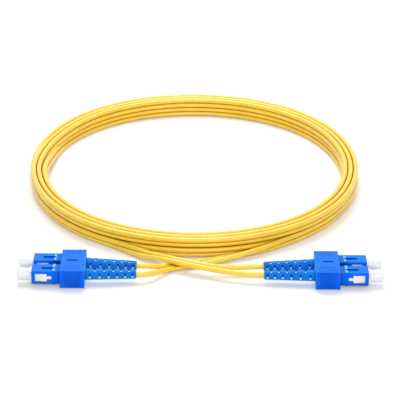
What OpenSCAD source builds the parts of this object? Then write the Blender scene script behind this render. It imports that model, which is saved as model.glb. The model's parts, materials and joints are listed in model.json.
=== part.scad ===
// Duplex fibre optic patch cord: two push-pull square connectors on each end of a coiled
// twin cable. All lengths are in millimetres. +Z is up and the keys of the connectors face up.

/* [Layout] */
// Distance from the middle of the assembly to the front face of each connector
front_x = 87.3; // [80:0.1:100]
// Distance between the axes of the two connectors of a pair
plug_pitch = 12.7; // [12.7:0.1:13.5]
// Inward lean of each boot towards its twin, in degrees
boot_toe = 3.2; // [0:0.1:3.6]
// Downward lean of each boot, in degrees
boot_droop = 1.1; // [0:0.1:2]

/* [Sleeve] */
// Width of the push-pull sleeve
sleeve_w = 9.0; // [8.9:0.1:9.2]
// Height of the push-pull sleeve
sleeve_h = 7.4; // [7.3:0.1:7.6]
// Length of the push-pull sleeve
sleeve_len = 25.2; // [24:0.1:26]
// Radius of the sleeve's long edges
sleeve_r = 0.7; // [0.4:0.1:1]
// Width of the bore through the sleeve
cavity_w = 7.4; // [7.3:0.1:7.5]
// Height of the bore through the sleeve
cavity_h = 6.0; // [5.9:0.1:6.1]
// Width of the key on the sleeve's top
key_w = 1.7; // [1.4:0.1:2.4]
// Height of the key above the sleeve's top
key_h = 0.8; // [0.5:0.1:1]
// How far the sleeve is pulled back to release the connector
sleeve_travel = 2.0; // [1.5:0.1:2.2]

/* [Duplex clip] */
// Length of the clip along the connectors
clip_len = 12.7; // [12:0.1:13.5]
// Width of the clip across both connectors
clip_w = 25.4; // [25:0.1:27]
// Height of the clip
clip_h = 10.0; // [9.8:0.1:11]
// Distance from a sleeve's front face to the clip
clip_x = 14.7; // [14.5:0.1:15]
// Number of grip grooves on each side of the clip
clip_grooves = 9; // [5:1:9]

/* [Plug frame and ferrule] */
// Width of the plug frame
frame_w = 7.2; // [7:0.1:7.3]
// Height of the plug frame
frame_h = 5.8; // [5.6:0.1:5.8]
// How far the plug frame stands out of the sleeve
frame_nose = 0.9; // [0.5:0.1:1.2]
// Diameter of the ceramic ferrule
ferrule_d = 2.5; // [2.5]
// How far the ferrule is pushed back when two connectors meet
ferrule_travel = 1.0; // [0.5:0.1:1.2]
// Number of turns in the ferrule spring
spring_turns = 6; // [4:1:7]

/* [Boot and cap] */
// Diameter of the boot next to the clip
boot_d = 5.95; // [5.6:0.05:6]
// Diameter of the boot at its cable end
boot_end_d = 4.9; // [4.6:0.05:5.2]
// Distance from a sleeve's front face to the boot's cable end
boot_end = 54; // [50:0.5:60]
// Number of slot pairs along the boot
boot_slots = 11; // [5:1:11]
// Diameter of the dust cap
cap_d = 6.8; // [6:0.1:7]
// How far the dust cap stands out of the sleeve
cap_nose = 7.7; // [6:0.1:9]

/* [Cable] */
// Diameter of each leg of the twin cable
leg_d = 2.9; // [2.9]
// Distance between the two legs of the twin cable
leg_pitch = 3.0; // [3:0.05:3.1]
// Half width of the coil, to the middle of its columns
coil_a = 89.8; // [88:0.1:92]
// Half depth of the coil, to the middle of its columns
coil_b = 100.2; // [98:0.1:102]
// Free space between neighbouring turns of the coil
turn_gap = 0.45; // [0.45:0.05:0.6]

/* [Hidden] */
$fn = 48;
axis_z = clip_h / 2;                  // height of the connector axes
seam = 0.15;                          // step along the clip's parting line
neck_w = 8.4;                         // sleeve width inside the clip
neck_h = 6.8;                         // sleeve height inside the clip
ridge_x = 10.8;                       // start of the raised band round the sleeve
ridge_len = 1.3;
key_x = 5.2;                          // front end of the key
window_x = 1.8;                       // latch window in each side of the sleeve
window_len = 6.2;
window_h = 4.6;
tab_len = 2.5;                        // narrower rear end of the window
tab_h = 2.0;
frame_end = 18;                       // rear face of the plug frame
wall_x = 7.2;                         // wall inside the frame that stops the ferrule
wall_t = 1.2;
flange_x = wall_x + wall_t;           // front face of the ferrule holder's flange
flange_t = 1.2;
frame_bore_d = 4.9;
nose_x = 15.5;                        // front face of the rear body's nose
spring_wire = 0.45;
spring_d = 4.15;                      // outer diameter of the spring
spring_sides = 6;
spring_rings = 8;                     // rings per turn
ferrule_front = -1.6;
crimp_x = 19.2;
crimp_end = 28.3;
crimp_step = 25.4;
pivot_x = 26.8;                       // where the boot starts to lean
boot_front = 19.2;
boot_bore_d = leg_d + 0.2;
waist_r = 2.35;                       // radius of the boot where it starts to lean
crimp_room_d = 3.9;                   // wider bore that clears the crimp's end
slot_start = 29.5;                    // first slot of the boot
slot_step = 2.62;                     // spacing of the first slots
slot_shrink = 0.04;                   // spacing lost from slot to slot
slot_len = 0.9;
slot_w = 2.9;
slot_spine = 1.35;                    // half width of the spine left between two slots
cap_gap = 0.06;
cable_start = crimp_end + 0.2;        // the jacket begins inside the boot

// Plugs: name, end of the cord (-1 left, 1 right), row (-1 front, 1 rear)
PLUGS = [
    ["left_front", -1, -1],
    ["left_rear", -1, 1],
    ["right_front", 1, -1],
    ["right_rear", 1, 1]
];
ENDS = [["left", -1], ["right", 1]];
PLUG_PIECES = [
    "sleeve", "plug_frame", "ferrule", "ferrule_holder", "spring",
    "rear_body", "crimp_sleeve", "fibre", "boot", "dust_cap", "leg"
];
END_PIECES = ["clip_upper", "clip_lower", "tail"];

// ---- Coil of twin cable: two layers of on-edge cable that spiral in, climb and spiral out ----
coil_x = -3.7;                        // middle of the coil
coil_y = 128.1;
coil_point_out = -0.5;                // how far the coil swells at its four ends
column = leg_d + turn_gap;
layer = leg_pitch + leg_d + turn_gap;
coil_z = leg_pitch / 2 + leg_d / 2 * cos(30); // middle of the lower layer, whose flats lie at z = 0
coil_start = -20;                     // angle at which the cable joins the coil
coil_turn = 2020;                     // angle that the cable winds through
ring_step = 15;                       // angle between two rings: 24 rings in a loop
climb = 180;                          // angle over which the cable climbs to the upper layer
swerve = 90;                          // angle over which it draws in ahead of the climb
far_turns = 110 / 360;                // turns wound when the cable first crosses the far side
lead = 3;                             // straight length at each end of a tube

function smooth(t) = let (u = min(1, max(0, t))) u * u * (3 - 2 * u);
function turns_in(a) =
    let (s = min(a, coil_turn - a))
    s / 360 + 0.5 * smooth((s - coil_turn / 2 + climb / 2 + swerve) / swerve);
function coil_point(a) =
    let (
        th = coil_start + a,
        out = column * (1 + far_turns - turns_in(a)) + coil_point_out * cos(4 * th)
    )
    [
        coil_x + (coil_a + out) * cos(th),
        coil_y + (coil_b + out) * sin(th),
        coil_z + layer * smooth((a - coil_turn / 2 + climb / 2) / climb)
    ];
function unit(v) = v / norm(v);
coil_in = coil_point(0);
coil_in_dir = unit(coil_point(1) - coil_point(0));
coil_out = coil_point(coil_turn);
coil_out_dir = unit(coil_point(coil_turn) - coil_point(coil_turn - 1));
coil_rings = ceil(coil_turn / ring_step);
coil_path = concat(
    [coil_in - lead * coil_in_dir],
    [for (i = [0:coil_rings]) coil_point(coil_turn * i / coil_rings)],
    [coil_out + lead * coil_out_dir]
);

// ---- Free stretches: chosen points, from the coil to where the twin cable splits ----
LEFT_ROUTE = [
    [78.1, 75.7, 2.8], [68.9, 60.6, 2.8], [57.2, 47.6, 2.8], [48.2, 39.6, 2.8], [40, 33.1, 2.8],
    [31.3, 27.4, 2.6], [22, 23, 2.2], [12, 18.8, 1.8], [0, 13.8, 1.6], [-7, 11.2, 1.6],
    [-10, 10.2, 1.6]
];
RIGHT_ROUTE = [
    [-88.9, 77.8, 7.9], [-82.7, 64.6, 6.6], [-74, 52.9, 5.8], [-63.9, 42.9, 5.1],
    [-52.5, 34.5, 4.5], [-40.5, 27.4, 3.6], [-30.5, 21.9, 2.8], [-23.5, 17, 3.7],
    [-16, 11.3, 5], [-7, 6.9, 5], [0, 4.1, 4.9], [5, 2.3, 4.9], [8, 1.2, 4.9]
];
// The cable lies on edge in the coil and rolls flat before it splits, in degrees at each point
LEFT_ROLL = [90, 90, 90, 88, 75, 55, 30, 10, 0, 0, 0];
RIGHT_ROLL = [88, 84, 78, 70, 54, 28, 6, 0, 0, 0, 0, 0, 0];
function halfway(p, i) =
    let (a = p[max(0, i - 1)], b = p[i], c = p[i + 1], d = p[min(len(p) - 1, i + 2)])
    (9 * (b + c) - a - d) / 16;
function smoothed(p) = concat(
    [for (i = [0:len(p) - 2]) each [p[i], halfway(p, i)]],
    [p[len(p) - 1]]
);
function tail_path(side) =
    let (
        end = side < 0 ? coil_in : coil_out,
        away = side < 0 ? -coil_in_dir : coil_out_dir,
        route = side < 0 ? LEFT_ROUTE : RIGHT_ROUTE
    )
    concat([end + lead * away], smoothed(concat([end + 2 * lead * away], route)));
function tail_roll(side) =
    concat([90], smoothed(concat([90], side < 0 ? LEFT_ROLL : RIGHT_ROLL)));

// ---- Legs: from inside a boot to the split, straight at both ends ----
function boot_dir(side, row) = [
    -side * cos(boot_toe) * cos(boot_droop), -row * sin(boot_toe) * cos(boot_droop),
    -sin(boot_droop)
];
function boot_point(side, row, x) =
    [side * (front_x - pivot_x), row * plug_pitch / 2, axis_z]
    + (x - pivot_x) * boot_dir(side, row);
function split_end(side) = let (p = tail_path(side)) p[len(p) - 1];
function split_dir(side) = let (p = tail_path(side), n = len(p)) unit(p[n - 1] - p[n - 2]);
function leg_start(side, row) =
    let (across = unit(cross([0, 0, 1], split_dir(side))))
    split_end(side) + side * row * across * leg_pitch / 2;
function bezier(p, t) =
    pow(1 - t, 3) * p[0] + 3 * t * pow(1 - t, 2) * p[1] + 3 * t * t * (1 - t) * p[2]
    + pow(t, 3) * p[3];
function leg_path(side, row) =
    let (
        out = boot_point(side, row, boot_end + lead),
        back = leg_start(side, row) + lead * split_dir(side),
        pull = norm(out - back) / 3,
        bend = [
            out, out + pull * boot_dir(side, row), back + pull * split_dir(side), back
        ]
    )
    concat(
        [boot_point(side, row, cable_start), boot_point(side, row, boot_end)],
        [for (i = [0:4]) bezier(bend, i / 4)],
        [leg_start(side, row)]
    );

// ---- Tubes swept along a path ----
function tangent(path, i) = unit(path[min(i + 1, len(path) - 1)] - path[max(i - 1, 0)]);
function sweep_point(path, i, roll, p) =
    let (
        t = tangent(path, i),
        across = unit(cross([0, 0, 1], t)),
        up = cross(t, across)
    )
    path[i] + across * (p[0] * cos(roll) - p[1] * sin(roll))
    + up * (p[0] * sin(roll) + p[1] * cos(roll));
module sweep(path, rolls, section, caps) {
    n = len(section);
    m = len(path);
    points = [for (i = [0:m - 1]) for (p = section) sweep_point(path, i, rolls[i], p)];
    sides = [
        for (i = [0:m - 2]) for (k = [0:n - 1])
            let (a = i * n + k, b = i * n + (k + 1) % n) each [[a, b + n, b], [a, a + n, b + n]]
    ];
    end_caps = [for (f = caps) [for (k = [2, 1, 0]) f[k] + (m - 1) * n]];
    polyhedron(points, concat(sides, caps, end_caps));
}
module round_tube(path, d, sides) {
    section = [for (k = [0:sides - 1]) d / 2 * [cos(360 * k / sides), sin(360 * k / sides)]];
    caps = [for (k = [1:sides - 2]) [0, k, k + 1]];
    sweep(path, [for (p = path) 0], section, caps);
}
// Figure of eight section: two legs side by side along the section's first axis
TWIN_LOBE = [for (a = [-150:60:150]) leg_d / 2 * [cos(a), sin(a)]];
TWIN = concat(
    [for (p = TWIN_LOBE) p + [leg_pitch / 2, 0]],
    [for (p = TWIN_LOBE) -p - [leg_pitch / 2, 0]]
);
TWIN_CAPS = concat(
    [for (o = [0, 6]) for (k = [1:4]) [o, o + k, o + k + 1]],
    [[5, 6, 11], [5, 11, 0]]
);
module twin_tube(path, rolls) {
    sweep(path, rolls, TWIN, TWIN_CAPS);
}

// Least gap of the coil to itself, between the legs of turns that are half a turn or more apart
function coil_legs(i) = [for (s = [-1, 1]) sweep_point(coil_path, i, 90, [s * leg_pitch / 2, 0])];
module report_coil_gap() {
    legs = [for (i = [0:len(coil_path) - 1]) coil_legs(i)];
    gap = min([
        for (i = [0:len(legs) - 13]) for (j = [i + 12:len(legs) - 1])
            for (a = legs[i]) for (b = legs[j]) norm(a - b)
    ]) - leg_d;
    echo(least_gap_of_coil_to_itself = gap);
}

// ---- Placing ----
module at_plug(plug) {
    translate([plug[1] * front_x, plug[2] * plug_pitch / 2, axis_z])
        rotate([0, 0, plug[1] < 0 ? 0 : 180]) children();
}
module at_end(end) {
    translate([end[1] * front_x, 0, axis_z]) rotate([0, 0, end[1] < 0 ? 0 : 180]) children();
}
// Row of a plug as its own frame sees it, which is turned round at the right end
function own_row(plug) = -plug[1] * plug[2];

// ---- Shared shapes: x runs back from the sleeve's front face, on the plug's axis ----
module tube_x(x0, x1, d) {
    translate([x0, 0, 0]) rotate([0, 90, 0]) cylinder(h = x1 - x0, d = d);
}
module cone_x(x0, x1, d0, d1) {
    translate([x0, 0, 0]) rotate([0, 90, 0]) cylinder(h = x1 - x0, d1 = d0, d2 = d1);
}
module block(x0, x1, w, h) {
    translate([x0, -w / 2, -h / 2]) cube([x1 - x0, w, h]);
}
module turned(outline) {
    rotate([0, 90, 0]) rotate_extrude() polygon([for (p = outline) [p[1], p[0]]]);
}
module rounded_bar(x0, x1, w, h, r) {
    translate([x0, 0, 0]) rotate([90, 0, 90]) linear_extrude(x1 - x0) {
        square([w - 2 * r, h], center = true);
        square([w, h - 2 * r], center = true);
        for (sy = [-1, 1]) for (sz = [-1, 1])
            translate([sy * (w / 2 - r), sz * (h / 2 - r)]) circle(r = r);
    }
}

// ---- Push-pull sleeve ----
module sleeve() {
    color([0.10, 0.45, 0.95]) difference() {
        union() {
            rounded_bar(0, clip_x, sleeve_w, sleeve_h, sleeve_r);
            rounded_bar(clip_x, sleeve_len, neck_w, neck_h, sleeve_r);
            rounded_bar(ridge_x, ridge_x + ridge_len, sleeve_w + 0.3, sleeve_h + 0.5, sleeve_r);
            translate([key_x, -key_w / 2, 0]) cube([ridge_x - key_x + 1, key_w, sleeve_h / 2 + key_h]);
        }
        block(-1, sleeve_len + 1, cavity_w, cavity_h);
        for (s = [-1, 1]) translate([0, s * sleeve_w / 2, 0]) {
            block(window_x, window_x + window_len, 3, window_h);
            block(window_x, window_x + window_len + tab_len, 3, tab_h);
        }
        for (x = [12.9, 13.8]) for (s = [-1, 1])
            translate([0, 0, s * sleeve_h / 2]) block(x, x + 0.35, sleeve_w + 1, 0.4);
    }
}

// ---- Duplex clip: two halves that snap together round both sleeves ----
hook_x = 17.8;                        // slot in the upper half and hook of the lower half
hook_len = 5.4;
hook_w = 1.0;
groove_x = 16.9;                      // first grip groove
groove_step = 0.97;
groove_len = 0.4;
groove_depth = 0.2;
groove_reach = 6.4;                   // how far a groove runs in from the clip's side
module clip_body() {
    difference() {
        rounded_bar(clip_x, clip_x + clip_len, clip_w, clip_h, 0.5);
        for (s = [-1, 1]) translate([0, s * plug_pitch / 2, 0]) {
            block(clip_x - 1, sleeve_len, neck_w, neck_h);
            tube_x(sleeve_len - 1, clip_x + clip_len + 1, 6.5);
        }
        for (k = [0:clip_grooves - 1]) for (s = [-1, 1])
            translate([groove_x + groove_step * k, s * clip_w / 2, 0]) difference() {
                block(0, groove_len, groove_reach * 2, clip_h + 1);
                translate([0, -s * groove_reach, 0])
                    block(-1, 1, groove_reach * 2 - 2 * groove_depth, clip_h - 2 * groove_depth);
            }
    }
}
module clip_upper() {
    color([0.08, 0.42, 0.96]) difference() {
        clip_body();
        translate([0, 0, -clip_h / 2]) block(0, 40, clip_w + 2, clip_h);
        block(hook_x, hook_x + hook_len, hook_w, clip_h + 1);
        for (s = [-1, 1]) translate([0, s * clip_w / 2, 0]) block(16.8, 22.7, 2 * seam, 0.5);
    }
}
module clip_lower() {
    color([0.08, 0.42, 0.96]) {
        difference() {
            clip_body();
            translate([0, 0, clip_h / 2]) block(0, 40, clip_w + 2, clip_h);
            for (s = [-1, 1]) translate([0, s * clip_w / 2, 0]) block(16.8, 22.7, 2 * seam, 0.5);
        }
        translate([hook_x + 0.1, -hook_w / 2 + 0.1, -1])
            cube([hook_len - 0.2, hook_w - 0.2, 1 + clip_h / 2 - 0.6]);
    }
}

// ---- Plug frame ----
module plug_frame() {
    color([0.94, 0.95, 0.97]) difference() {
        union() {
            rounded_bar(-frame_nose, frame_end, frame_w, frame_h, 0.5);
            for (s = [0, 1]) mirror([0, s, 0]) latch();
        }
        block(-frame_nose - 1, wall_x, 5.4, 4.8);
        tube_x(0, frame_end, 3.6);
        tube_x(wall_x + wall_t, frame_end + 1, frame_bore_d);
        block(-frame_nose - 1, -frame_nose + 0.3, 6, 5.2);
    }
}
// Ramp and rail on a side of the frame, inside the sleeve's window, that catch the adapter
module latch() {
    translate([0, 0, -2.1]) linear_extrude(4.2)
        polygon([[4, 3], [4, 3.6], [5.2, 4.25], [7.9, 4.25], [7.9, 3]]);
    translate([7.5, 3, -0.9]) cube([2.8, 1.15, 1.8]);
}

// ---- Ferrule, its holder and its spring ----
module ferrule() {
    color([0.97, 0.97, 0.95]) turned([
        [ferrule_front, 0], [ferrule_front, 0.75], [ferrule_front + 0.5, ferrule_d / 2],
        [flange_x + 0.8, ferrule_d / 2], [flange_x + 0.8, 0]
    ]);
}
module ferrule_holder() {
    color([0.78, 0.78, 0.80]) difference() {
        union() {
            tube_x(flange_x - 1.5, flange_x + 1, 3.3);
            tube_x(flange_x, flange_x + flange_t, 4.6);
            tube_x(flange_x, 16.4, 1.9);
        }
        tube_x(flange_x - 2, flange_x + 0.8, ferrule_d + 0.02);
        tube_x(flange_x, 17, 1.1);
        for (a = [0:90:270]) rotate([a, 0, 0]) translate([flange_x - 1, -0.35, 2]) cube([3, 0.7, 2]);
    }
}
spring_x0 = flange_x + flange_t;
function spring_point(i) =
    let (
        n = spring_turns * spring_rings,
        a = 360 * i / spring_rings,
        r = (spring_d - spring_wire) / 2
    )
    [
        spring_x0 + spring_wire / 2 + (nose_x - spring_x0 - spring_wire) * i / n,
        r * cos(a),
        r * sin(a)
    ];
module spring() {
    n = spring_turns * spring_rings;
    path = [for (i = [0:n]) spring_point(i)];
    section = [
        for (k = [0:spring_sides - 1])
            let (turn = 360 * k / spring_sides) spring_wire / 2 * [cos(turn), sin(turn)]
    ];
    points = [
        for (i = [0:n]) for (p = section)
            let (out = unit([0, path[i][1], path[i][2]])) path[i] + out * p[0] + [p[1], 0, 0]
    ];
    m = spring_sides;
    sides = [
        for (i = [0:n - 1]) for (k = [0:m - 1])
            let (a = i * m + k, b = i * m + (k + 1) % m) each [[a, b, b + m], [a, b + m, a + m]]
    ];
    caps = concat(
        [for (k = [1:m - 2]) [0, k + 1, k]],
        [for (k = [1:m - 2]) [n * m, n * m + k, n * m + k + 1]]
    );
    color([0.7, 0.7, 0.72]) polyhedron(points, concat(sides, caps));
}

// ---- Rear body, crimp sleeve and fibre ----
module rear_body() {
    color([0.15, 0.15, 0.16]) difference() {
        union() {
            tube_x(nose_x, frame_end, frame_bore_d - 0.02);
            tube_x(frame_end, frame_end + 1, 5.6);
            tube_x(frame_end, 25.2, 3.6);
        }
        tube_x(nose_x - 1, 26, 2.3);
        for (x = [20.2:1:24.2]) translate([x, 0, 0]) difference() {
            tube_x(0, 0.4, 5);
            tube_x(-1, 1, 3.3);
        }
    }
}
module crimp_sleeve() {
    color([0.75, 0.72, 0.62]) difference() {
        union() {
            tube_x(crimp_x, crimp_x + 1, 4.4);
            translate([crimp_x + 1, 0, 0]) rotate([0, 90, 0])
                cylinder(h = 4.2, d = 4.5, $fn = 6);
            tube_x(crimp_x + 5.2, crimp_step, 4.4);
            tube_x(crimp_step, crimp_end, 3.6);
        }
        tube_x(crimp_x - 1, crimp_step - 0.2, 3.62);
        tube_x(crimp_x, crimp_end + 1, 2.84);
    }
}
module fibre() {
    color([0.96, 0.96, 0.92]) tube_x(11, crimp_end - 0.5, 0.9);
}

// ---- Boot: tapered, with pairs of slots turned a quarter from one pair to the next ----
function slot_x(k) = slot_start + slot_step * k - slot_shrink * k * k;
function boot_r(x) =
    boot_d / 2 + (boot_end_d - boot_d) / 2 * (x - pivot_x) / (boot_end - pivot_x);
module boot_slot(k) {
    rotate([k % 2 == 0 ? 0 : 90, 0, 0]) for (s = [0, 180]) rotate([s, 0, 0])
        translate([slot_x(k), slot_spine, -slot_w / 2]) cube([slot_len, 4, slot_w]);
}
module boot(row) {
    color([0.05, 0.35, 0.85]) {
        // Collar that sits straight inside the sleeve and over the crimp
        difference() {
            turned([
                [boot_front, 0], [boot_front, 2.75], [pivot_x - 0.9, 2.75],
                [pivot_x - 0.5, waist_r + 0.25], [pivot_x, waist_r + 0.25], [pivot_x, 0]
            ]);
            tube_x(boot_front - 1, crimp_step + 0.1, 4.55);
            tube_x(crimp_step, pivot_x + 1, 3.66);
        }
        // Slotted tail that leans in and down from a waist inside the clip
        translate([pivot_x, 0, 0]) rotate([0, boot_droop, row * -boot_toe])
            translate([-pivot_x, 0, 0]) difference() {
                turned([
                    [pivot_x - 0.5, 0], [pivot_x - 0.5, waist_r], [pivot_x + 0.2, waist_r],
                    [pivot_x + 0.5, boot_r(pivot_x + 0.5)], [boot_end - 0.3, boot_r(boot_end)],
                    [boot_end, boot_r(boot_end) - 0.3], [boot_end, 0]
                ]);
                tube_x(pivot_x - 1, boot_end + 1, boot_bore_d);
                tube_x(pivot_x - 1, cable_start, crimp_room_d);
                cone_x(cable_start, cable_start + 0.5, crimp_room_d, boot_bore_d);
                for (k = [0:boot_slots - 1]) boot_slot(k);
            }
    }
}

// ---- Dust cap ----
module dust_cap() {
    color([0.93, 0.95, 0.96]) difference() {
        turned([
            [-cap_nose, 0], [-cap_nose, cap_d / 2 - 0.5], [-cap_nose + 0.5, cap_d / 2],
            [-3.2, cap_d / 2], [-3, cap_d / 2 - 0.3], [-2.7, cap_d / 2 - 0.3],
            [-2.5, cap_d / 2], [-frame_nose - cap_gap, cap_d / 2], [-frame_nose - cap_gap, 2.1],
            [4.2, 2.1], [4.6, 1.8], [4.6, 0]
        ]);
        tube_x(-5.6, 6, ferrule_d + 0.1);
    }
}

// ---- The assembly ----
for (plug = PLUGS) {
    name = plug[0];
    row = own_row(plug);
    at_plug(plug) sleeve();
    at_plug(plug) plug_frame();
    at_plug(plug) ferrule();
    at_plug(plug) ferrule_holder();
    at_plug(plug) spring();
    at_plug(plug) rear_body();
    at_plug(plug) crimp_sleeve();
    at_plug(plug) fibre();
    at_plug(plug) boot(row);
    at_plug(plug) dust_cap();
    color([1, 0.8, 0.2]) round_tube(leg_path(plug[1], plug[2]), leg_d, 8);
}
for (end = ENDS) {
    name = end[0];
    at_end(end) clip_upper();
    at_end(end) clip_lower();
    color([1, 0.8, 0.2]) twin_tube(tail_path(end[1]), tail_roll(end[1]));
}
union() {  // cable_coil
    color([1, 0.8, 0.2]) twin_tube(coil_path, [for (p = coil_path) 90]);
    report_coil_gap();
}
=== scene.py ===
"""Duplex fibre optic patch cord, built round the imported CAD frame: metres, +Z up."""
import json
from math import cos, pi, radians, sin

import bmesh
import bpy
from mathutils import Matrix, Vector

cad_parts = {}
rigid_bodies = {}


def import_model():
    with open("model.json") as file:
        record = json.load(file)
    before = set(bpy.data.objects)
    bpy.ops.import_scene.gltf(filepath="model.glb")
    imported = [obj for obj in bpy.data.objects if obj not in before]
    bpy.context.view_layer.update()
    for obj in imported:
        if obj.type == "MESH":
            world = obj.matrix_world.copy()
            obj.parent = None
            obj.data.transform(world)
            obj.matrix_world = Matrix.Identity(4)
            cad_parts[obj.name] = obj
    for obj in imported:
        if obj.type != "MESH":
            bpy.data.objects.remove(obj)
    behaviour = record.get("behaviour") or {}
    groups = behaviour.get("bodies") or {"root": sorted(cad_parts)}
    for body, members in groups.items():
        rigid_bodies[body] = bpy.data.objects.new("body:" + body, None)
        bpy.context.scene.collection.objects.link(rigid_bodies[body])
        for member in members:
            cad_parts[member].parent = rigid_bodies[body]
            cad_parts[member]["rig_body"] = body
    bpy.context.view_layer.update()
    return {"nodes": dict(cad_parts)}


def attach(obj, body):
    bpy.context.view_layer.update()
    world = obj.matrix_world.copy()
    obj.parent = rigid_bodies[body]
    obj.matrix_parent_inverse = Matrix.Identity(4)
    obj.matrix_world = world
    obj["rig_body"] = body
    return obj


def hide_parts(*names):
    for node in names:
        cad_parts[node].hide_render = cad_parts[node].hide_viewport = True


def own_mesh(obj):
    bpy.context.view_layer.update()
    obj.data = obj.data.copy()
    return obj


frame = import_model()
scene = bpy.context.scene
nodes = frame["nodes"]

# ---- Camera: the photograph's view, from 25 degrees above the floor ----
CAMERA_PLACE = Vector((-0.0003, -0.80347, 0.41966))
CAMERA_TILT = radians(65)
CAMERA_ROLL = radians(0.343)
CAMERA_LENS = 155.5                  # millimetres, as the sensor's width is
SENSOR_WIDTH = 36
camera_data = bpy.data.cameras.new("camera")
camera_data.lens = CAMERA_LENS
camera_data.sensor_width = SENSOR_WIDTH
camera = bpy.data.objects.new("camera", camera_data)
camera.matrix_world = (
    Matrix.Translation(CAMERA_PLACE)
    @ Matrix.Rotation(CAMERA_TILT, 4, "X")
    @ Matrix.Rotation(CAMERA_ROLL, 4, "Z")
)
scene.collection.objects.link(camera)
scene.camera = camera
scene.view_settings.view_transform = "Standard"

# ---- Cable: its tails' routes, from the coil to the split of the legs, and the coil itself ----
# LEFT_ROUTE repeats part.scad's points. RIGHT_ROUTE does from its third point to its last but one:
# it leaves the coil's lower layer, and its legs part a little sooner.
LEFT_ROUTE = [
    (0.0781, 0.0757, 0.0028), (0.0689, 0.0606, 0.0028), (0.0572, 0.0476, 0.0028),
    (0.0482, 0.0396, 0.0028), (0.04, 0.0331, 0.0028), (0.0313, 0.0274, 0.0026),
    (0.022, 0.023, 0.0022), (0.012, 0.0188, 0.0018), (0, 0.0138, 0.0016),
    (-0.007, 0.0112, 0.0016), (-0.01, 0.0102, 0.0016),
]
RIGHT_ROUTE = [
    (-0.0495, 0.0359, 0.0028), (-0.0402, 0.0295, 0.0028),
    (-0.0305, 0.0219, 0.0028), (-0.0235, 0.017, 0.0037), (-0.016, 0.0113, 0.005),
    (-0.007, 0.0069, 0.005), (-0.0015, 0.0048, 0.0049),
]
# Roll of the twin cable at each point: 90 stands it on edge, 0 and 180 lay it flat
LEFT_ROLL = [98, 92, 90, 92, 105, 125, 150, 170, 180, 180, 180]
RIGHT_ROLL = [98, 75, 30, 6, 0, 0, 0]

LEG_D = 0.0029
LEG_PITCH = 0.00285                  # distance between the two legs' centres
COIL_CENTRE = (-0.0035, 0.12815)
COIL_A = 0.0916                      # half width of the coil's middle column
COIL_B = 0.1011                      # half depth of the coil's middle column
COIL_SQUARING = -0.0005              # added to its radii on its four sides, taken off between them
COLUMN = 0.00305                     # distance from one column of turns to the next
COLUMN_SPREAD = 0.00055              # how much wider that is on the near and far sides
COIL_ROLL = 102                      # the on-edge cable leans outward at its top
LOWER_Z = 0.002844                   # middle of the lower layer of on-edge cable
LAYER = 0.00585                      # distance from the lower layer to the upper one
COIL_START = -20                     # angle at which the left tail joins the coil, in degrees
COIL_TURN = 2055                     # angle that the cable winds through, in degrees
COIL_STEP = 5                        # degrees from one row of the coil to the next
SPLINE_STEPS = 2                     # points of the curve to each row
# The cable keeps to three columns: from which angle to which it changes column, and which way
COLUMN_CHANGES = [
    (171, 212, -1), (260, 274, 1), (307, 327, -1),
    (531, 572, -1), (1251, 1292, 1), (1611, 1652, 1),
]
# From which angle to which it changes layer, which way, and how far out it swings meanwhile
CLIMBS = [(891, 932, 1, -0.0015), (1971, 2012, -1, 0.0015)]


def smooth(t):
    """Rises from 0 to 1 as t does, with level ends."""
    u = min(1.0, max(0.0, t))
    return u * u * (3 - 2 * u)


def bulge(t):
    """Rises from 0 to 1 and falls back to 0 as t goes from 0 to 1."""
    return sin(pi * min(1.0, max(0.0, t))) ** 2


def coil_point(a):
    """Middle of the cable and its roll at angle a of the coil."""
    th = radians(COIL_START + a)
    column = 1 + sum(way * smooth((a - x0) / (x1 - x0)) for x0, x1, way in COLUMN_CHANGES)
    out = column * (COLUMN + COLUMN_SPREAD * sin(th) ** 2) + COIL_SQUARING * cos(4 * th)
    z = LOWER_Z
    for x0, x1, way, swing in CLIMBS:
        z += LAYER * way * smooth((a - x0) / (x1 - x0))
        out += swing * bulge((a - x0) / (x1 - x0))
    return (
        COIL_CENTRE[0] + (COIL_A + out) * cos(th),
        COIL_CENTRE[1] + (COIL_B + out) * sin(th),
        z,
        COIL_ROLL,
    )


def spline(rows, steps):
    """Catmull-Rom curve through rows of numbers, with steps points to an interval."""
    padded = [2 * rows[0] - rows[1], *rows, 2 * rows[-1] - rows[-2]]
    out = []
    for i in range(1, len(padded) - 2):
        a, b, c, d = padded[i - 1:i + 3]
        for k in range(steps):
            t = k / steps
            out.append(
                b + (c - a) * (t / 2) + (2 * a - 5 * b + 4 * c - d) * (t * t / 2)
                + (3 * b - a - 3 * c + d) * (t ** 3 / 2)
            )
    return out + [rows[-1]]


left_rows = [Vector((*p, r)) for p, r in zip(LEFT_ROUTE, LEFT_ROLL)]
right_rows = [Vector((*p, r)) for p, r in zip(RIGHT_ROUTE, RIGHT_ROLL)]
coil_rows = [Vector(coil_point(a)) for a in range(0, COIL_TURN + 1, COIL_STEP)]
twin_rows = spline(left_rows[::-1] + coil_rows + right_rows, SPLINE_STEPS)
twin_points = [row.xyz for row in twin_rows]


def twin_frames():
    """Direction, axis from the lower leg to the upper one, and face normal at each point."""
    out = []
    last = len(twin_points) - 1
    for i, row in enumerate(twin_rows):
        ahead = (twin_points[min(i + 1, last)] - twin_points[max(i - 1, 0)]).normalized()
        across = Vector((0, 0, 1)).cross(ahead).normalized()
        up = ahead.cross(across)
        axis = across * cos(radians(row.w)) + up * sin(radians(row.w))
        out.append((ahead, axis, ahead.cross(axis)))
    return out


frames = twin_frames()

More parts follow.
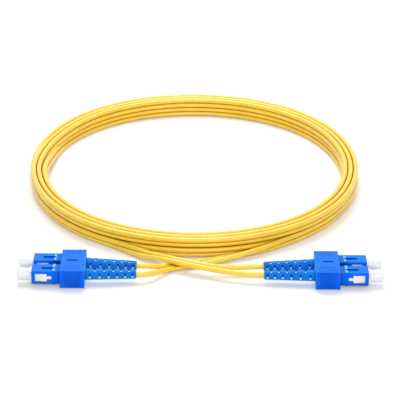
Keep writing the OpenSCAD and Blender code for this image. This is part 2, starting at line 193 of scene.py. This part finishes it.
# ---- Legs: each runs on from the twin cable into a boot ----
# A plug is known by its side, -1 left and 1 right, and its row, -1 front and 1 rear. Places along
# it are distances from its front.
FRONT_X = 0.0873                     # the plugs' front, from the middle of the object
PLUG_PITCH = 0.0127
AXIS_Z = 0.005                       # height of the plugs' axes
PIVOT_X = 0.0268                     # where a boot starts to lean in and down
BOOT_END = 0.054
CABLE_START = 0.0285                 # where a leg ends inside its crimp
LEAD = 0.003                         # straight stretch at both ends of a leg's bend
TOE = radians(3.2)                   # a boot leans in towards its neighbour by this
DROOP = radians(1.1)                 # and down by this
BEND_STEPS = 10


def boot_direction(side, row):
    """Direction of a boot's axis, towards the cable."""
    return Vector((-side * cos(TOE) * cos(DROOP), -row * sin(TOE) * cos(DROOP), -sin(DROOP)))


def boot_point(side, row, x):
    """Point on a boot's axis."""
    pivot = Vector((side * (FRONT_X - PIVOT_X), row * PLUG_PITCH / 2, AXIS_Z))
    return pivot + (x - PIVOT_X) * boot_direction(side, row)


def bezier(p, t):
    """Point of the cubic Bezier curve with the four control points p."""
    u = 1 - t
    return p[0] * u ** 3 + p[1] * 3 * t * u * u + p[2] * 3 * t * t * u + p[3] * t ** 3


def leg_to_boot(side, row, end, away):
    """Points of a leg from the end of its twin stretch to the crimp inside its boot."""
    out = boot_point(side, row, BOOT_END + LEAD)
    back = end + LEAD * away
    pull = (out - back).length / 3
    bend = (back, back + pull * away, out + pull * boot_direction(side, row), out)
    inside = [BOOT_END, (BOOT_END * 2 + CABLE_START) / 3, (BOOT_END + CABLE_START * 2) / 3]
    return [bezier(bend, k / BEND_STEPS) for k in range(BEND_STEPS + 1)] + [
        boot_point(side, row, x) for x in inside + [CABLE_START]
    ]


def leg_points(which):
    """Centreline of the upper leg (1) or the lower one (-1), from a left boot to a right one."""
    run = [p + axis * which * LEG_PITCH / 2 for p, (_, axis, _) in zip(twin_points, frames)]
    left = leg_to_boot(-1, -which, run[0], -frames[0][0])
    right = leg_to_boot(1, which, run[-1], frames[-1][0])
    return left[::-1] + run + right


def cable_leg(name, points):
    """Round tube along points."""
    data = bpy.data.curves.new(name, "CURVE")
    data.dimensions = "3D"
    data.bevel_depth = 1.0               # times each point's radius
    data.bevel_resolution = 5
    data.use_fill_caps = True
    line = data.splines.new("POLY")
    line.points.add(len(points) - 1)
    for point, place in zip(line.points, points):
        point.co = (*place, 1)
        point.radius = LEG_D / 2
    line.use_smooth = True
    leg = bpy.data.objects.new(name, data)
    scene.collection.objects.link(leg)
    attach(leg, "cord")
    return leg


def lofted(rings):
    """Vertices and faces of a closed form through rings of equally many points."""
    n = len(rings[0])
    verts = [p for ring in rings for p in ring]
    faces = [
        (i * n + k, i * n + (k + 1) % n, (i + 1) * n + (k + 1) % n, (i + 1) * n + k)
        for i in range(len(rings) - 1) for k in range(n)
    ]
    return verts, faces + [tuple(range(n))[::-1], tuple(range(len(verts) - n, len(verts)))]


# Half of the web's section: how far along the axis between the legs, and how far out from it
WEB_SECTION = [
    (-0.0009, 0.0009), (-0.0004, 0.00084), (0, 0.00074), (0.0004, 0.00084), (0.0009, 0.0009),
]


def cable_web():
    """Thin web that joins the two legs, with a rounded groove on each face."""
    section = WEB_SECTION + [(-u, -v) for u, v in WEB_SECTION]
    verts, faces = lofted([
        [p + axis * u + normal * v for u, v in section]
        for p, (_, axis, normal) in zip(twin_points, frames)
    ])
    mesh = bpy.data.meshes.new("cable_web")
    mesh.from_pydata(verts, [], faces)
    mesh.shade_smooth()
    web = bpy.data.objects.new("cable_web", mesh)
    scene.collection.objects.link(web)
    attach(web, "cord")
    return web


upper_leg = cable_leg("cable_upper_leg", leg_points(1))
lower_leg = cable_leg("cable_lower_leg", leg_points(-1))
web = cable_web()
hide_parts("left_front_leg", "left_tail", "cable_coil", "right_rear_leg")
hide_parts("left_rear_leg", "right_tail", "right_front_leg")

# ---- Materials ----
NOISE_LOW = 0.3                      # most of a noise's values lie between these two
NOISE_HIGH = 0.7


def linear(r, g, b):
    """Linear colour of an sRGB colour given in 0 to 255."""
    def one(c):
        c /= 255
        return c / 12.92 if c <= 0.04045 else ((c + 0.055) / 1.055) ** 2.4
    return one(r), one(g), one(b), 1.0


def mapped(tree, source, start, end, low=0.0, high=1.0):
    """Output that goes from low to high as source goes from start to end."""
    node = tree.nodes.new("ShaderNodeMapRange")
    node.inputs["From Min"].default_value = start
    node.inputs["From Max"].default_value = end
    node.inputs["To Min"].default_value = low
    node.inputs["To Max"].default_value = high
    tree.links.new(source, node.inputs["Value"])
    return node.outputs["Result"]


class Finish:
    """A procedural Principled material; every texture is in object space, in metres."""

    def __init__(self, name):
        self.material = bpy.data.materials.new(name)
        self.material.use_nodes = True
        self.tree = self.material.node_tree
        self.shader = self.tree.nodes["Principled BSDF"]
        self.place = self.tree.nodes.new("ShaderNodeTexCoord").outputs["Object"]

    def set(self, **values):
        """Sets sockets of the shader, with _ for each space in their names."""
        for key, value in values.items():
            self.shader.inputs[key.replace("_", " ")].default_value = value

    def noise(self, size, detail=3.0):
        """Noise with features about size metres across."""
        mapping = self.tree.nodes.new("ShaderNodeMapping")
        mapping.inputs["Scale"].default_value = [1 / size] * 3
        self.tree.links.new(self.place, mapping.inputs["Vector"])
        texture = self.tree.nodes.new("ShaderNodeTexNoise")
        texture.inputs["Scale"].default_value = 1.0
        texture.inputs["Detail"].default_value = detail
        self.tree.links.new(mapping.outputs["Vector"], texture.inputs["Vector"])
        return texture.outputs["Fac"]

    def colour(self, source, dark, light):
        ramp = self.tree.nodes.new("ShaderNodeValToRGB")
        ramp.color_ramp.elements[0].position = NOISE_LOW
        ramp.color_ramp.elements[1].position = NOISE_HIGH
        ramp.color_ramp.elements[0].color = linear(*dark)
        ramp.color_ramp.elements[1].color = linear(*light)
        self.tree.links.new(source, ramp.inputs["Fac"])
        self.tree.links.new(ramp.outputs["Color"], self.shader.inputs["Base Color"])

    def paint_crevice_shade(self, reach, dark, least, most):
        """Paints shade into the colour: darkens it where other surfaces lie within reach metres.

        It is dark where the openness, from 0 to 1, is least, and as it was where it is most.
        """
        cavity = self.tree.nodes.new("ShaderNodeAmbientOcclusion")
        cavity.samples = 8
        cavity.inputs["Distance"].default_value = reach
        mix = self.tree.nodes.new("ShaderNodeMix")
        mix.data_type = "RGBA"
        mix.inputs["A"].default_value = linear(*dark)
        colour = self.shader.inputs["Base Color"]
        plain = colour.links[0].from_socket
        openness = mapped(self.tree, cavity.outputs["AO"], least, most)
        self.tree.links.new(openness, mix.inputs["Factor"])
        self.tree.links.new(plain, mix.inputs["B"])
        self.tree.links.new(mix.outputs["Result"], colour)

    def roughness(self, source, low, high):
        span = mapped(self.tree, source, NOISE_LOW, NOISE_HIGH, low, high)
        self.tree.links.new(span, self.shader.inputs["Roughness"])

    def bump(self, source, depth):
        node = self.tree.nodes.new("ShaderNodeBump")
        node.inputs["Distance"].default_value = depth
        node.inputs["Strength"].default_value = 1.0
        self.tree.links.new(source, node.inputs["Height"])
        self.tree.links.new(node.outputs["Normal"], self.shader.inputs["Normal"])


def plastic(name, dark, light, low=0.28, high=0.4, grain=0.00025, depth=0.000004):
    """Moulded plastic: slow colour drift, patchy gloss and a fine moulded grain."""
    made = Finish(name)
    made.colour(made.noise(size=0.006), dark, light)
    made.roughness(made.noise(size=0.0015), low, high)
    made.bump(made.noise(size=grain, detail=2), depth)
    return made


def metal(name, dark, light, low, high):
    """Metal: slow colour drift, and fine marks in its gloss and its relief."""
    made = Finish(name)
    made.set(Metallic=1.0)
    made.colour(made.noise(size=0.002), dark, light)
    made.roughness(made.noise(size=0.0003), low, high)
    made.bump(made.noise(size=0.00015, detail=2), depth=0.000004)
    return made


# What makes each finish, its darkest and lightest sRGB colours, its lowest and highest roughness,
# and the size and depth of its grain, as far as a plastic differs from the usual ones
LOOKS = {
    "sleeve_blue": (plastic, (0, 98, 240), (5, 110, 252)),
    "clip_blue": (plastic, (0, 92, 240), (4, 104, 252)),
    "boot_blue": (plastic, (0, 112, 220), (8, 126, 236), 0.34, 0.48),
    "frame_white": (plastic, (244, 242, 238), (252, 250, 246)),
    "rear_body_plastic": (plastic, (38, 38, 42), (56, 56, 60)),
    "fibre_buffer": (plastic, (236, 236, 226), (248, 248, 240)),
    "zirconia": (plastic, (240, 240, 234), (250, 250, 246), 0.1, 0.2),
    "cap_clear": (plastic, (232, 235, 241), (242, 244, 248), 0.22, 0.34),
    "cable_yellow": (plastic, (250, 204, 10), (254, 217, 26), 0.34, 0.46, 0.0004, 0.00001),
    "plated_metal": (metal, (176, 176, 180), (208, 208, 212), 0.2, 0.34),
    "spring_steel": (metal, (150, 152, 158), (190, 192, 198), 0.2, 0.4),
    "crimp_metal": (metal, (190, 182, 158), (214, 206, 184), 0.24, 0.4),
    # Painted shade: the web between the legs is a darker orange, standing in for the shade in the
    # groove between them
    "cable_web_painted_shade": (plastic, (184, 124, 0), (202, 140, 4), 0.4, 0.5, 0.0004, 0.00001),
    # Painted shade and highlight: the navy darkens the boots' and clips' slots, the pale
    # cyan-white lights the lower lips of the boots' slots
    "boot_core": (plastic, (0, 10, 84), (2, 16, 104)),
    "boot_slot_painted_highlight": (plastic, (196, 236, 250), (214, 246, 254)),
    # Painted highlight: pale blue strips on the sleeves' bands and keys
    "ridge_inlay": (plastic, (96, 186, 242), (116, 200, 248)),
}
FINISHES = {name: make(name, *look) for name, (make, *look) in LOOKS.items()}
FINISHES["cap_clear"].set(Coat_Weight=0.5, Coat_Roughness=0.2)
FINISHES["boot_core"].set(Specular_IOR_Level=0.05)
FINISHES["cable_web_painted_shade"].set(Specular_IOR_Level=0.1)
# Painted shade: the cable's colour darkens to dark orange in the creases between its turns and
# legs
FINISHES["cable_yellow"].paint_crevice_shade(reach=0.0014, dark=(204, 132, 0), least=0.32, most=0.8)
FINISHES["cable_yellow"].set(
    Specular_IOR_Level=0.1, Coat_Weight=1.0, Coat_Roughness=0.4, Coat_IOR=1.8
)
# Painted shade: each blue darkens to navy in the gaps between sleeves, in the clip's grooves and
# in the boots' slots
for kind, reach, most in (
    ("sleeve_blue", 0.0045, 0.9), ("clip_blue", 0.0006, 0.8), ("boot_blue", 0.0015, 0.85),
):
    FINISHES[kind].paint_crevice_shade(reach, dark=(0, 14, 100), least=0.35, most=most)
    FINISHES[kind].set(Specular_IOR_Level=0.08, Sheen_Weight=0.55, Sheen_Tint=(0.1, 1, 1, 1))
for leg in (upper_leg, lower_leg):
    leg.data.materials.append(FINISHES["cable_yellow"].material)
web.data.materials.append(FINISHES["cable_web_painted_shade"].material)

# ---- Rigid pieces: the CAD shape with its moulded edges rounded ----
SLOT_OF = {
    "sleeve": "sleeve_blue", "clip_upper": "clip_blue", "clip_lower": "clip_blue",
    "plug_frame": "frame_white", "boot": "boot_blue", "dust_cap": "cap_clear",
    "ferrule": "zirconia", "ferrule_holder": "plated_metal", "spring": "spring_steel",
    "rear_body": "rear_body_plastic", "crimp_sleeve": "crimp_metal", "fibre": "fibre_buffer",
}
EDGE_RADIUS = {
    "sleeve": 0.00014, "clip_upper": 0.00014, "clip_lower": 0.00014,
    "plug_frame": 0.0001, "boot": 0.0001, "dust_cap": 0.00014,
}
ROUNDED_FROM = radians(30)           # an edge that turns by more than this is rounded
WELD = 1e-6                          # vertices nearer than this are joined
FLAT = radians(0.5)                  # faces that turn by less than this are joined


def round_edges(piece, radius):
    rounding = piece.modifiers.new("rounding", "BEVEL")
    rounding.width = radius
    rounding.segments = 2
    rounding.limit_method = "ANGLE"
    rounding.angle_limit = ROUNDED_FROM
    rounding.use_clamp_overlap = True
    piece.modifiers.new("normals", "WEIGHTED_NORMAL")


def refined(node, kind):
    """Copy of a CAD part, welded, with its edges rounded, which stands in its place."""
    mesh = bpy.data.meshes.new(node + "_moulded")
    part = bmesh.new()
    part.from_mesh(nodes[node].data)
    bmesh.ops.remove_doubles(part, verts=part.verts, dist=WELD)
    bmesh.ops.dissolve_limit(part, angle_limit=FLAT, verts=part.verts, edges=part.edges)
    part.to_mesh(mesh)
    part.free()
    if "custom_normal" in mesh.attributes:
        mesh.attributes.remove(mesh.attributes["custom_normal"])
    mesh.shade_smooth()
    mesh.materials.clear()
    mesh.materials.append(FINISHES[SLOT_OF[kind]].material)
    piece = bpy.data.objects.new(node + "_moulded", mesh)
    scene.collection.objects.link(piece)
    round_edges(piece, EDGE_RADIUS[kind])
    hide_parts(node)
    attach(piece, nodes[node]["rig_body"])


def compressing_spring(node):
    """Copy of a CAD spring, with a mesh of its own, that stands in its place."""
    piece = bpy.data.objects.new(node + "_wound", nodes[node].data.copy())
    piece.data.materials.clear()
    piece.data.materials.append(FINISHES["spring_steel"].material)
    scene.collection.objects.link(piece)
    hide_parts(node)
    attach(piece, nodes[node]["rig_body"])
    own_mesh(piece)


for name in sorted(nodes):
    kind = next((k for k in SLOT_OF if name.endswith("_" + k)), None)
    if kind is None:
        continue
    if kind in EDGE_RADIUS:
        refined(name, kind)
    elif kind == "spring":
        compressing_spring(name)
    else:
        nodes[name].data.materials.clear()
        nodes[name].data.materials.append(FINISHES[SLOT_OF[kind]].material)

# ---- Boots: a dark core round the cable, painted shade that shows in each slot, and a pale inlay, a painted highlight on each slot's lower lip ----
BOOT_D = 0.00595
BOOT_END_D = 0.0049
BOOT_SLOTS = 11
FIRST_SLOT = 0.0295                  # where the first slot starts
SLOT_STEP = 0.00262                  # about the distance from one slot's start to the next's
SLOT_CLOSING = 0.00004               # how fast that shrinks towards the cable
SLOT_LEN = 0.0009
CORE_R = 0.00151
CORE_SIDES = 24
CORE_STATIONS = (CABLE_START + 0.0006, 0.037, 0.0455, BOOT_END - 0.0004)
SLOT_PIECE_EDGE = 0.00006                # radius of the edges of the cores and their inlays
INLAY_DEPTH = 0.00012                # how far an inlay lies under the boot's surface
INLAY_GAP = 0.00003                  # and how far from the slot's ends
INLAY_STEPS = 4
SIDE_INLAY = (-32, -2)               # its angles above the horizontal, in a side slot
TOP_INLAY = (58, 73)


def slot_x(k):
    """Start of the boot's slot k."""
    return FIRST_SLOT + SLOT_STEP * k - SLOT_CLOSING * k * k


def boot_r(x):
    """Radius of the tapered boot."""
    return BOOT_D / 2 + (BOOT_END_D - BOOT_D) / 2 * (x - PIVOT_X) / (BOOT_END - PIVOT_X)


def added(name, verts, faces, finish, slot, body, edge=SLOT_PIECE_EDGE):
    """A mesh piece with slightly rounded edges, which rides on body."""
    mesh = bpy.data.meshes.new(name)
    mesh.from_pydata(verts, [], faces)
    part = bmesh.new()
    part.from_mesh(mesh)
    bmesh.ops.recalc_face_normals(part, faces=part.faces)
    part.to_mesh(mesh)
    part.free()
    mesh.shade_smooth()
    mesh.materials.append(FINISHES[finish].material)
    piece = bpy.data.objects.new(name, mesh)
    scene.collection.objects.link(piece)
    round_edges(piece, edge)
    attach(piece, body)


def boot_slot_painted_light(side, row):
    """The dark core of one boot, painted shade inside its slots, and its pale inlays, painted
    highlights on the slots' lower lips.
    """
    prefix = ("left" if side < 0 else "right") + ("_front" if row < 0 else "_rear")
    ahead = boot_direction(side, row)
    up = (Vector((0, 0, 1)) - ahead * ahead.z).normalized()

    def place(x, angle, radius, towards=-1):
        """Point round the boot's axis: the angle starts at the front (-1) or rear side (1)."""
        across = Vector((0, towards, 0))
        across = (across - ahead * across.dot(ahead)).normalized()
        spoke = across * cos(radians(angle)) + up * sin(radians(angle))
        return boot_point(side, row, x) + spoke * radius

    core = lofted([
        [place(x, 360 / CORE_SIDES * k, CORE_R) for k in range(CORE_SIDES)]
        for x in CORE_STATIONS
    ])
    added(prefix + "_boot_core", *core, "boot_core", "boot_blue", "cord")
    verts, faces = [], []
    for k in range(BOOT_SLOTS):
        low, high = SIDE_INLAY if k % 2 == 0 else TOP_INLAY
        angles = [low + (high - low) * i / INLAY_STEPS for i in range(INLAY_STEPS + 1)]
        for towards in ((-1, 1) if k % 2 == 0 else (-1,)):
            rings = []
            for x in (slot_x(k) + INLAY_GAP, slot_x(k) + SLOT_LEN - INLAY_GAP):
                outer = [place(x, a, boot_r(x) - INLAY_DEPTH, towards) for a in angles]
                inner = [place(x, a, CORE_R, towards) for a in angles]
                rings.append(outer + inner[::-1])
            more_verts, more_faces = lofted(rings)
            faces += [tuple(i + len(verts) for i in face) for face in more_faces]
            verts += more_verts
    added(prefix + "_boot_slot_painted_highlight", verts, faces, "boot_slot_painted_highlight", "frame_white", "cord")


for side in (-1, 1):
    for row in (-1, 1):
        boot_slot_painted_light(side, row)

# ---- Thin inlays on top: pale painted highlights on the sleeves' bands and keys, and navy painted shade in the slots of the clips ----
# Start, end, half width, and height of the face that it lies in
BAND_HIGHLIGHT = (0.01085, 0.01205, 0.0039, 0.00895)
CLIP_SLOT_SHADE = (0.0179, 0.0231, 0.0007, 0.01)
KEY_HIGHLIGHT = (0.0109, 0.01178, 0.0008, 0.0095)
INLAY_UNDER = 0.00005                # how far an inlay reaches under that face
INLAY_PROUD = 0.00002                # and how far it stands out


def inlay(name, side, y, size, finish, slot, body):
    start, end, half, top = size
    under = top - INLAY_UNDER
    over = top + INLAY_PROUD
    corners = ((-half, under), (half, under), (half, over), (-half, over))
    rings = [
        [Vector((side * (FRONT_X - x), y + w, z)) for w, z in corners] for x in (start, end)
    ]
    added(name, *lofted(rings), finish, slot, body, edge=INLAY_PROUD / 2)


for side, prefix in ((-1, "left"), (1, "right")):
    grip = prefix + "_grip"
    # Painted shade: a navy strip in each clip's slot, where shade falls
    inlay(prefix + "_clip_slot", side, 0, CLIP_SLOT_SHADE, "boot_core", "clip_blue", grip)
    for row, row_name in ((-1, "_front"), (1, "_rear")):
        y = row * PLUG_PITCH / 2
        for band, size in (("_band", BAND_HIGHLIGHT), ("_key_band", KEY_HIGHLIGHT)):
            inlay(prefix + row_name + band, side, y, size, "ridge_inlay", "sleeve_blue", grip)

# ---- Floor, light and background ----
FLOOR_HALF = 3.0
FLOOR_Z = -0.0001
FLOOR_GREY = 0.8
# The lamps light the floor less further out, so its glow rises between two distances to match
GLOW_RISES = (0.25, 1.0)
FLOOR_GLOW = 0.23
FAR_FLOOR_GLOW = 0.75
WORLD_LIGHT = 0.45

floor_mesh = bpy.data.meshes.new("floor")
floor_mesh.from_pydata(
    [(x * FLOOR_HALF, y * FLOOR_HALF, FLOOR_Z) for x, y in ((-1, -1), (1, -1), (1, 1), (-1, 1))],
    [], [(0, 1, 2, 3)],
)
floor = bpy.data.objects.new("floor", floor_mesh)
scene.collection.objects.link(floor)


def seen_directly(tree):
    """1 for rays that show the background: from the camera, in gloss or through glass."""
    path = tree.nodes.new("ShaderNodeLightPath")
    total = path.outputs["Is Camera Ray"]
    for kind in ("Is Glossy Ray", "Is Transmission Ray"):
        larger = tree.nodes.new("ShaderNodeMath")
        larger.operation = "MAXIMUM"
        tree.links.new(total, larger.inputs[0])
        tree.links.new(path.outputs[kind], larger.inputs[1])
        total = larger.outputs[0]
    return total


def floor_finish():
    """Grey that takes shadows, with a glow that only rays to the background see."""
    material = bpy.data.materials.new("floor")
    material.use_nodes = True
    tree = material.node_tree
    tree.nodes.clear()
    diffuse = tree.nodes.new("ShaderNodeBsdfDiffuse")
    diffuse.inputs["Color"].default_value = (FLOOR_GREY, FLOOR_GREY, FLOOR_GREY, 1)
    place = tree.nodes.new("ShaderNodeTexCoord").outputs["Object"]
    distance = tree.nodes.new("ShaderNodeVectorMath")
    distance.operation = "LENGTH"
    tree.links.new(place, distance.inputs[0])
    strength = mapped(tree, distance.outputs["Value"], *GLOW_RISES, FLOOR_GLOW, FAR_FLOOR_GLOW)
    level = tree.nodes.new("ShaderNodeMath")
    level.operation = "MULTIPLY"
    tree.links.new(seen_directly(tree), level.inputs[0])
    tree.links.new(strength, level.inputs[1])
    glow = tree.nodes.new("ShaderNodeEmission")
    tree.links.new(level.outputs[0], glow.inputs["Strength"])
    both = tree.nodes.new("ShaderNodeAddShader")
    tree.links.new(diffuse.outputs[0], both.inputs[0])
    tree.links.new(glow.outputs[0], both.inputs[1])
    output = tree.nodes.new("ShaderNodeOutputMaterial")
    tree.links.new(both.outputs[0], output.inputs["Surface"])
    return material


def studio_world():
    """White where it is seen directly, and a plain soft light elsewhere."""
    world = bpy.data.worlds.new("studio")
    world.use_nodes = True
    tree = world.node_tree
    background = tree.nodes["Background"]
    background.inputs["Color"].default_value = (1, 1, 1, 1)
    strength = mapped(tree, seen_directly(tree), 0.0, 1.0, WORLD_LIGHT, 1.0)
    tree.links.new(strength, background.inputs["Strength"])
    return world


def lamp(name, place, aim, size, power):
    data = bpy.data.lights.new(name, "AREA")
    data.shape = "DISK"
    data.size = size
    data.energy = power
    light = bpy.data.objects.new(name, data)
    light.location = place
    light.rotation_mode = "QUATERNION"
    light.rotation_quaternion = (Vector(aim) - Vector(place)).to_track_quat("-Z", "Y")
    scene.collection.objects.link(light)


floor_mesh.materials.append(floor_finish())
scene.world = studio_world()
lamp("key", place=(-0.05, 0.68, 1.08), aim=(0, 0.08, 0), size=0.85, power=11)
lamp("fill", place=(0.2, -1.3, 0.75), aim=(0, 0.05, 0), size=1.2, power=10)
